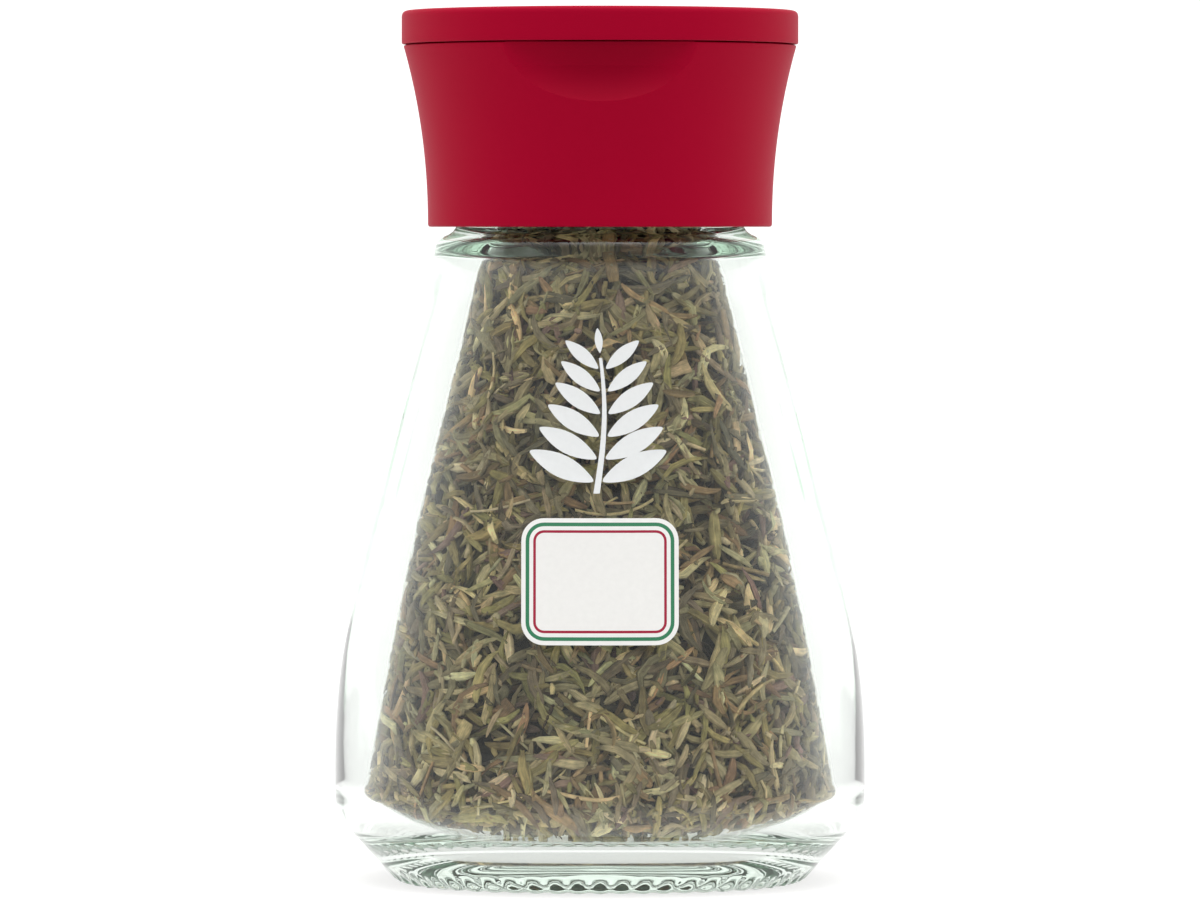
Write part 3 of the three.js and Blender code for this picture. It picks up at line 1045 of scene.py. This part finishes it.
    def build(self) -> list[bpy.types.Object]:
        """Builds the heart, the leaves, the crumbs, the stalks and the chips.

        Returns:
            The finished pieces.
        """
        pieces = [self.core()]
        count = self.leaves // len(self.layers)
        for i, (near, far, light) in enumerate(self.layers):
            length = self.draw.triangular(2.8, 4.8, 7.6, count)
            width = self.draw.triangular(0.28, 0.46, 0.8, count) * (0.72 + 0.05 * length)
            thick = width * self.draw.uniform(0.6, 0.95, count)
            bends = np.clip(self.draw.standard_t(3, (count, 3)), -4, 4) * (0.06, 0.045, 0.009)
            # Painted shade: the deeper layers are darkened by their lightness, for the shade among
            # the leaves.
            tones = self.tones(count) * (light, light, light, 1)
            pieces.append(
                self.strewn(
                    f"thyme_leaf_layer_{i + 1}", self.rolled_leaf(),
                    np.stack([width, length, thick], 1), bends, (near, far), tones,
                )
            )
        length = self.draw.uniform(0.8, 2.2, self.crumbs)
        width = self.draw.uniform(0.22, 0.45, self.crumbs)
        pieces.append(
            self.strewn(
                "thyme_leaf_crumbs", self.crumb(), np.stack([width, length, 0.8 * width], 1),
                self.draw.normal(0, (0.1, 0.1, 0.02), (self.crumbs, 3)), (0.0, 1.5),
                self.tones(self.crumbs), tilt=0.6,
            )
        )
        woody = {Tone.STRAW: 0.35, Tone.BROWN: 0.4, Tone.PALE: 0.25}
        girth = self.draw.uniform(0.16, 0.32, self.stalks)
        length = self.draw.uniform(4.0, 9.5, self.stalks)
        pieces.append(
            self.strewn(
                "thyme_stalks", self.stalk(), np.stack([girth, length, girth], 1),
                self.draw.normal(0, (0.03, 0.02, 0.003), (self.stalks, 3)), (0.0, 0.9),
                self.tones(self.stalks, woody), tilt=0.15,
            )
        )
        width = self.draw.uniform(0.5, 1.1, self.chips)
        length = self.draw.uniform(2.2, 5.0, self.chips)
        pieces.append(
            self.strewn(
                "thyme_stalk_chips", self.chip(), np.stack([width, length, 0.4 * width], 1),
                np.zeros((self.chips, 3)), (0.0, 0.5),
                self.tones(self.chips, {Tone.STRAW: 0.7, Tone.BROWN: 0.3}), tilt=0.2,
            )
        )
        return pieces


# Closure


def holes_cut(shape: bmesh.types.BMesh, cutters: Sequence[bmesh.types.BMesh]) -> bmesh.types.BMesh:
    """Cuts shapes out of a closed shape.

    Args:
        shape: The closed shape, which is freed.
        cutters: The closed shapes to cut away, which are freed.

    Returns:
        What is left.
    """
    kept, *cuts = (in_scene("cut_helper", as_mesh("cut_helper", p)) for p in (shape, *cutters))
    for cutter in cuts:
        cut = kept.modifiers.new("cut", "BOOLEAN")
        cut.object, cut.operation, cut.solver = cutter, "DIFFERENCE", "EXACT"
    left = bmesh.new()
    left.from_object(kept, bpy.context.evaluated_depsgraph_get())
    for helper in (kept, *cuts):
        bpy.data.meshes.remove(helper.data)
    bmesh.ops.remove_doubles(left, verts=left.verts, dist=SAME_PLACE_MM)
    return left


class Lie(Enum):
    """The ways that a round bar lies, each as its turn about Y."""

    UPRIGHT = 0.0
    CROSSWISE = math.pi / 2


def rod(
    radius: float, length: float, lie: Lie, centre: Sequence[float], sides: int,
) -> bmesh.types.BMesh:
    """Makes a closed round bar.

    Args:
        radius: Its radius.
        length: Its length.
        lie: The way it lies.
        centre: Its middle.
        sides: The sides of its section.

    Returns:
        The shape.
    """
    shape = bmesh.new()
    bmesh.ops.create_cone(
        shape, cap_ends=True, segments=sides, radius1=radius, radius2=radius, depth=length,
    )
    bmesh.ops.rotate(shape, verts=shape.verts, matrix=Matrix.Rotation(lie.value, 3, "Y"))
    bmesh.ops.translate(shape, verts=shape.verts, vec=centre)
    return shape


@dataclass
class FlipClosure:
    """The red closure: flared skirt, thumb scoop, sunk deck with pouring holes, inner thread."""

    facets: int = 256
    plastic: MouldedPolypropylene = field(default_factory=MouldedPolypropylene)
    thread: ScrewThread = field(default_factory=lambda: ScrewThread(low=82.35))
    low: float = 77.4
    low_radius: float = 20.4
    seam: float = 98.9
    seam_radius: float = 23.3
    flare: float = 2.1
    bore_radius: float = 18.35
    deck_low: float = 95.9
    deck_top: float = 97.6
    deck_radius: float = 18.9
    thread_low: float = 80.8  # between these the bore is drawn finely, for the thread
    thread_top: float = 89.6
    mouth_radius: float = 18.8
    hole_radius: float = 1.8
    hole_ring: float = 6.2
    ring_holes: int = 6
    scoop_radius: float = 9.0
    scoop_y: float = -29.2
    scoop_z: float = 96.9
    hinge_half_width: float = 5.2
    hinge_y: float = 23.0
    hinge_z: float = 99.05

    def skirt_radius(self, height: float) -> float:
        """Gives the outside radius of the flared skirt at a height."""
        share = (height - self.low) / (self.seam - self.low)
        return self.low_radius + (self.seam_radius - self.low_radius) * share**self.flare

    def outline(self) -> Outline:
        """Draws the closure from its deck's underside round the skirt to its deck's top."""
        bore, edge = self.bore_radius, 0.35
        line = Outline([(0.0, self.deck_low)]).line(bore - 0.4, self.deck_low, 3.0)
        line.bend((bore, self.deck_low), (bore, self.deck_low - 0.4), 3)
        line.line(bore, self.thread_top, 1.5).line(bore, self.thread_low, 0.4)
        line.line(bore, 78.2, 1.0).line(self.mouth_radius, self.low, 0.5)
        line.line(self.low_radius - edge, self.low, 0.8)
        over = (self.skirt_radius(self.low + edge), self.low + edge)
        line.bend((self.low_radius, self.low), over, 4)
        for height in np.linspace(self.low + 0.9, self.seam - 0.25, 40):
            line.points.append((self.skirt_radius(height), float(height)))
        line.bend((self.seam_radius, self.seam), (self.seam_radius - 0.25, self.seam), 3)
        line.line(self.deck_radius + 0.3, self.seam, 1.2)
        line.bend((self.deck_radius, self.seam), (self.deck_radius, self.seam - 0.3), 3)
        line.line(self.deck_radius, self.deck_top, 0.5)
        return line.line(0.0, self.deck_top, 3.0)

    def hinge_pocket(self) -> bmesh.types.BMesh:
        """Makes the block of space that the film hinge folds in."""
        shape = bmesh.new()
        bmesh.ops.create_cube(shape, size=1.0)
        bmesh.ops.scale(shape, verts=shape.verts, vec=(2 * self.hinge_half_width + 0.6, 4.0, 2.6))
        bmesh.ops.translate(shape, verts=shape.verts, vec=(0, self.hinge_y + 1.2, self.hinge_z))
        return shape

    def build(self) -> bpy.types.Object:
        """Builds the closure.

        Returns:
            The finished piece.
        """
        shape = self.outline().spun(self.facets)
        for vert in shape.verts:
            radius = math.hypot(vert.co.x, vert.co.y)
            if abs(radius - self.bore_radius) < 0.05 and vert.co.z < self.thread_top:
                reach = self.thread.reach(math.atan2(vert.co.y, vert.co.x), vert.co.z)
                vert.co.x *= (radius - reach) / radius
                vert.co.y *= (radius - reach) / radius
        scoop = rod(self.scoop_radius, 28.0, Lie.CROSSWISE, (0, self.scoop_y, self.scoop_z), 160)
        azimuths = [FRONT + i * 2 * math.pi / self.ring_holes for i in range(self.ring_holes)]
        ring = [(self.hole_ring * math.cos(a), self.hole_ring * math.sin(a)) for a in azimuths]
        middle = (self.deck_low + self.deck_top) / 2
        holes = [
            rod(self.hole_radius, 5.0, Lie.UPRIGHT, (x, y, middle), 40) for x, y in [(0, 0), *ring]
        ]
        shape = holes_cut(shape, [scoop, *holes, self.hinge_pocket()])
        return finish_piece(
            "closure_moulding", shape, [self.plastic.material()], "closure",
            replaces=["closure_body"], crease=32,
        )


@dataclass
class FlipLid:
    """The flat lid: a thin disc with a rounded rim and a sealing ring, and its film hinge."""

    closure: FlipClosure
    radius: float = 23.5
    low: float = 99.03
    top: float = 103.0
    edge: float = 0.8
    wall: float = 1.6
    roof: float = 1.5
    plug_inner: float = 17.2
    plug_outer: float = 18.4
    plug_low: float = 98.0
    round: float = 0.3
    strap_thick: float = 0.35
    strap_rise: float = 2.3
    strap_fold: float = 0.18  # half of how far the fold stands out behind the strap's ends

    def outline(self) -> Outline:
        """Draws the lid from the middle of its underside round its rim to the middle of its top."""
        under, r, wall = self.top - self.roof, self.round, self.radius - self.wall
        inner, outer, low = self.plug_inner, self.plug_outer, self.plug_low
        line = Outline([(0.0, under)]).line(inner - r, under, 3.0)
        line.bend((inner, under), (inner, under - r), 3).line(inner, low + r, 0.8)
        line.bend((inner, low), (inner + r, low), 3).line(outer - r, low, 0.4)
        line.bend((outer, low), (outer, low + r), 3).line(outer, under - r, 0.8)
        line.bend((outer, under), (outer + r, under), 3).line(wall - r, under, 1.0)
        line.bend((wall, under), (wall, under - r), 3).line(wall, self.low, 0.6)
        line.line(self.radius - 0.2, self.low, 0.5)
        line.bend((self.radius, self.low), (self.radius, self.low + 0.2), 3)
        line.line(self.radius, self.top - self.edge, 0.5)
        line.bend((self.radius, self.top), (self.radius - self.edge, self.top), 8)
        return line.line(0.0, self.top, 2.0)

    def build(self) -> list[bpy.types.Object]:
        """Builds the lid and the film hinge.

        Returns:
            The finished pieces.
        """
        plastic = self.closure.plastic.material()
        shape = holes_cut(self.outline().spun(self.closure.facets), [self.closure.hinge_pocket()])
        lid = finish_piece(
            "lid_moulding", shape, [plastic], "lid", replaces=["flip_lid"], crease=32,
        )
        return [lid, self.film_hinge(plastic)]

    def film_hinge(self, plastic: bpy.types.Material) -> bpy.types.Object:
        """Builds the thin strap behind the seam, which stands out a little on its fold line.

        Args:
            plastic: The closure's material.

        Returns:
            The finished piece.
        """
        cap = self.closure
        shape = bmesh.new()
        bmesh.ops.create_grid(shape, x_segments=24, y_segments=16, size=0.5)
        for vert in shape.verts:
            across, up = vert.co.x * 2 * cap.hinge_half_width, vert.co.y * self.strap_rise
            fold = self.strap_fold * math.cos(math.pi * min(1.0, abs(up)))
            out = cap.hinge_y - 0.25 + fold
            vert.co = Vector((across, out, cap.hinge_z + up))
        bmesh.ops.recalc_face_normals(shape, faces=shape.faces)
        bmesh.ops.solidify(shape, geom=shape.faces[:], thickness=self.strap_thick)
        bmesh.ops.recalc_face_normals(shape, faces=shape.faces)
        strap = finish_piece(
            "hinge_film", shape, [plastic], "", replaces=["hinge_web"], crease=50,
        )
        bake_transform(strap)
        return strap


@dataclass
class SealLiner:
    """The foam sealing ring that is pressed between the glass lip and the deck."""

    inner: float = 13.0
    outer: float = 17.9
    low: float = 94.5
    high: float = 95.6
    round: float = 0.25

    def build(self) -> bpy.types.Object:
        """Builds the ring.

        Returns:
            The finished piece.
        """
        inner, outer, low, high, r = self.inner, self.outer, self.low, self.high, self.round
        line = Outline([(inner, low + r)]).line(inner, high - r, 0.4)
        line.bend((inner, high), (inner + r, high), 3).line(outer - r, high, 0.8)
        line.bend((outer, high), (outer, high - r), 3).line(outer, low + r, 0.4)
        line.bend((outer, low), (outer - r, low), 3).line(inner + r, low, 0.8)
        line.bend((inner, low), (inner, low + r), 3)
        foam = PrintedSkin("pressed_polyethylene_foam", "#ecebe4", roughness=0.75, mottle_mm=0.5)
        return finish_piece(
            "seal_ring", line.spun(160), [foam.material()], "liner",
            replaces=["seal_liner"],
        )


# Sticker and print


class StickerSkin(Enum):
    """The sticker's paper and inks, each with its material's name, colour and roughness."""

    PAPER = ("coated_sticker_paper", "#ecebe8", 0.32)
    GREEN = ("printed_green_ink", "#2f7a55", 0.3)
    RED = ("printed_red_ink", "#9d0b33", 0.3)


@dataclass
class FrontSticker:
    """The blank paper sticker on the lower front, with a green frame and a thin red line."""

    jar: GlassJar
    width: float = 18.0
    height: float = 14.5
    corner: float = 2.6
    middle: float = 36.5
    thick: float = 0.12
    off: float = 0.06
    frames: Sequence[tuple[float, StickerSkin]] = (  # widths, from the edge inwards
        (0.16, StickerSkin.GREEN), (0.5, StickerSkin.PAPER), (0.42, StickerSkin.GREEN),
        (0.45, StickerSkin.PAPER), (0.3, StickerSkin.RED),
    )
    cuts_across: tuple[float, float, float] = (-8.4, 8.5, 0.7)  # first, end, step
    cuts_up: tuple[float, float, float] = (-6.5, 6.6, 1.3)

    def outline(self) -> list[Point]:
        """Gives the rounded outline's points about the middle, anticlockwise."""
        x, z, r = self.width / 2, self.height / 2, self.corner
        corners = [(x - r, z - r, 0), (r - x, z - r, 90), (r - x, r - z, 180), (x - r, r - z, 270)]
        turned = [(cx, cz, math.radians(a + b)) for cx, cz, a in corners for b in range(0, 91, 9)]
        return [(cx + r * math.cos(turn), cz + r * math.sin(turn)) for cx, cz, turn in turned]

    def build(self) -> bpy.types.Object:
        """Builds the sticker from a flat outline: frames inset, then sliced, bent and thickened.

        Returns:
            The finished piece.
        """
        shape = bmesh.new()
        face = shape.faces.new([shape.verts.new((x, z, 0)) for x, z in self.outline()])
        skins = list(StickerSkin)
        for width, skin in self.frames:
            rim = bmesh.ops.inset_region(
                shape, faces=[face], thickness=width, use_even_offset=True, use_boundary=True,
            )
            for made in rim["faces"]:
                made.material_index = skins.index(skin)
        self.slice(shape)
        for vert in shape.verts:
            vert.co = self.jar.seat(vert.co.x, self.middle + vert.co.y, self.off)
        face_and_thicken(shape, self.thick)
        bmesh.ops.recalc_face_normals(shape, faces=shape.faces)
        materials = [PrintedSkin(*skin.value).material() for skin in skins]
        return finish_piece(
            "sticker_sheet", shape, materials, "jar",
            replaces=["label_sticker"], crease=50,
        )

    def slice(self, shape: bmesh.types.BMesh) -> None:
        """Slices the flat sheet so that it can bend round the glass."""
        cuts = [((x, 0, 0), (1, 0, 0)) for x in np.arange(*self.cuts_across)]
        cuts += [((0, z, 0), (0, 1, 0)) for z in np.arange(*self.cuts_up)]
        for place, normal in cuts:
            geometry = shape.verts[:] + shape.edges[:] + shape.faces[:]
            bmesh.ops.bisect_plane(shape, geom=geometry, plane_co=place, plane_no=normal, dist=1e-5)


@dataclass
class PrintedSprig:
    """A plain herb sprig printed in white on the label panel: a stem with paired leaves."""

    jar: GlassJar
    low: float = 46.6
    high: float = 65.4
    pairs: int = 6
    stem_width: float = 0.75
    leaf_length: float = 8.4
    leaf_width: float = 2.7
    gap: float = 0.6  # between the stem's middle line and a leaf
    lowest_rise: float = 24.0  # degrees that the lowest leaves point up
    more_rise: float = 18.0  # what the topmost ones add to it
    tip_rise: float = 96.0
    tip_size: float = 0.34
    bare_top: float = 3.2  # the stem ends this far under the top
    pairs_end: float = 3.4  # and the paired leaves' feet this far
    off: float = 0.04
    thick: float = 0.05

    def stem_at(self, height: float) -> float:
        """Gives the stem's place across the front at a height."""
        share = (height - self.low) / (self.high - self.low)
        return 0.9 * math.sin(math.pi * share) - 0.4

    def leaf(self, shape: bmesh.types.BMesh, base: Point, angle: float, size: float) -> None:
        """Adds one pointed leaf to a flat shape.

        Args:
            shape: The shape that gets it.
            base: Where the leaf meets the stem.
            angle: The way it points, in radians from the right.
            size: Its length as a share of a full leaf's.
        """
        made = bmesh.ops.create_circle(
            shape, cap_ends=True, cap_tris=True, segments=28, radius=1.0,
        )["verts"]
        for vert in made:
            x, y = vert.co.x, vert.co.y
            vert.co = Vector((
                self.gap + (x + 1) / 2 * self.leaf_length * size,
                y * (1 - 0.45 * x * x) * self.leaf_width / 2 * size, 0,
            ))
        bmesh.ops.rotate(shape, verts=made, matrix=Matrix.Rotation(angle, 3, "Z"))
        bmesh.ops.translate(shape, verts=made, vec=(base[0], base[1], 0))

    def build(self) -> bpy.types.Object:
        """Builds the sprig.

        Returns:
            The finished piece.
        """
        shape = bmesh.new()
        stem = bmesh.ops.create_grid(shape, x_segments=2, y_segments=30, size=0.5)["verts"]
        for vert in stem:
            share = vert.co.y + 0.5
            height = self.low + share * (self.high - self.low - self.bare_top)
            width = self.stem_width * (1 - 0.5 * share)
            vert.co = Vector((self.stem_at(height) + vert.co.x * width, height, 0))
        for i in range(self.pairs):
            share = (i + 0.45) / self.pairs
            height = self.low + share * (self.high - self.low - self.pairs_end)
            size = 1.0 - 0.45 * share
            base = (self.stem_at(height), height)
            rise = self.lowest_rise + self.more_rise * share
            for angle in (rise, 180 - rise):
                self.leaf(shape, base, math.radians(angle), size)
        tip = self.high - self.bare_top
        self.leaf(shape, (self.stem_at(tip), tip), math.radians(self.tip_rise), self.tip_size)
        for vert in shape.verts:
            vert.co = self.jar.seat(vert.co.x, vert.co.y, self.off)
        face_and_thicken(shape, self.thick)
        enamel = PrintedSkin("white_glass_enamel", "#e6e8e8", roughness=0.4)
        return finish_piece(
            "printed_sprig", shape, [enamel.material()], "jar", crease=50,
        )


# Studio


@dataclass
class Studio:
    """The pale sweep, the soft light and the camera, with their lengths in metres."""

    distance: float = 0.968
    eye_height: float = 0.0774
    pitch: float = math.radians(1.57)
    focal_pixels: float = 8160.0
    sweep_front: float = -5.0
    sweep_width: float = 10.0
    sweep_start: float = 1.4
    sweep_radius: float = 1.2
    sweep_top: float = 4.5
    fill_glow: float = 0.5
    back_glow: float = 0.5
    top_glow: float = 1.5
    box_place: tuple[float, float, float] = (0.0, -0.35, 1.0)
    box_aim: tuple[float, float, float] = (0.0, 0.0, 0.05)
    box_size: float = 0.8
    box_watts: float = 2.0
    paper: StudioPaper = field(default_factory=StudioPaper)

    def sweep(self) -> bpy.types.Object:
        """Builds the floor that curves up behind the jar.

        Returns:
            The finished stage.
        """
        shape = bmesh.new()
        path = [(self.sweep_front, 0.0), (self.sweep_start, 0.0)]
        for turn in np.linspace(0, math.pi / 2, 25)[1:]:
            path.append((
                self.sweep_start + self.sweep_radius * math.sin(turn),
                self.sweep_radius * (1 - math.cos(turn)),
            ))
        path.append((self.sweep_start + self.sweep_radius, self.sweep_top))
        verts = [shape.verts.new((-self.sweep_width / 2, y, z)) for y, z in path]
        edges = [shape.edges.new(pair) for pair in zip(verts, verts[1:])]
        made = bmesh.ops.extrude_edge_only(shape, edges=edges)["geom"]
        moved = [item for item in made if isinstance(item, bmesh.types.BMVert)]
        bmesh.ops.translate(shape, verts=moved, vec=(self.sweep_width, 0, 0))
        bmesh.ops.recalc_face_normals(shape, faces=shape.faces)
        mesh = as_mesh("studio_sweep", shape)
        mesh.materials.append(self.paper.material())
        mesh.shade_smooth()
        sweep = in_scene("studio_sweep", mesh)
        return sweep

    def lights(self) -> None:
        """Sets the white surroundings, brighter behind and above, and one soft box overhead."""
        world = bpy.data.worlds.new("white_studio")
        world.use_nodes = True
        tree = world.node_tree
        tree.nodes.clear()
        bearing = add_node(tree, "ShaderNodeTexCoord")
        parts = add_node(tree, "ShaderNodeSeparateXYZ", {"Vector": bearing.outputs["Generated"]})
        behind = add_node(
            tree, "ShaderNodeMapRange",
            {
                "Value": parts.outputs["Y"], "From Min": -0.6, "From Max": 0.25,
                "To Max": self.back_glow,
            },
            interpolation_type="SMOOTHSTEP",
        )
        above = add_node(
            tree, "ShaderNodeMapRange",
            {
                "Value": parts.outputs["Z"], "From Min": 0.45, "From Max": 0.85,
                "To Max": self.top_glow,
            },
            interpolation_type="SMOOTHSTEP",
        )
        both = add_node(
            tree, "ShaderNodeMath", {0: behind.outputs["Result"], 1: above.outputs["Result"]},
            operation="ADD",
        )
        level = add_node(
            tree, "ShaderNodeMath", {0: both.outputs[0], 1: self.fill_glow}, operation="ADD",
        )
        sky = add_node(
            tree, "ShaderNodeBackground", {"Color": (1, 1, 1, 1), "Strength": level.outputs[0]},
        )
        add_node(tree, "ShaderNodeOutputWorld", {"Surface": sky.outputs["Background"]})
        bpy.context.scene.world = world
        bpy.context.scene.view_settings.view_transform = "Standard"
        paths = bpy.context.scene.cycles
        paths.max_bounces = paths.transmission_bounces = paths.glossy_bounces = 20
        light = bpy.data.lights.new("soft_box_top", "AREA")
        light.shape, light.size, light.energy = "SQUARE", self.box_size, self.box_watts
        box = in_scene("soft_box_top", light)
        box.location = self.box_place
        aim = Vector(self.box_aim) - Vector(self.box_place)
        box.rotation_euler = aim.to_track_quat("-Z", "Y").to_euler()

    def camera(self) -> bpy.types.Object:
        """Sets the camera at the photograph's viewing angle.

        Returns:
            The camera.
        """
        lens = bpy.data.cameras.new("camera")
        lens.sensor_width = 36.0
        lens.lens = self.focal_pixels * lens.sensor_width / PHOTO_SIZE[0]
        lens.clip_start, lens.clip_end = 0.01, 50.0
        camera = in_scene("camera", lens)
        camera.location = (0.0, -self.distance, self.eye_height)
        camera.rotation_euler = (math.pi / 2 - self.pitch, 0, 0)
        bpy.context.scene.camera = camera
        return camera


def main() -> None:
    """Builds the jar, its filling, its closure and the studio, in order."""
    logging.basicConfig(level=logging.INFO, format="%(name)s: %(message)s")
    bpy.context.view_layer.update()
    studio = Studio()
    studio.camera()
    studio.sweep()
    studio.lights()
    jar = GlassJar()
    jar.build()
    DriedThyme(jar).build()
    FrontSticker(jar).build()
    PrintedSprig(jar).build()
    SealLiner().build()
    closure = FlipClosure()
    closure.build()
    FlipLid(closure).build()


if __name__ == "__main__":
    main()
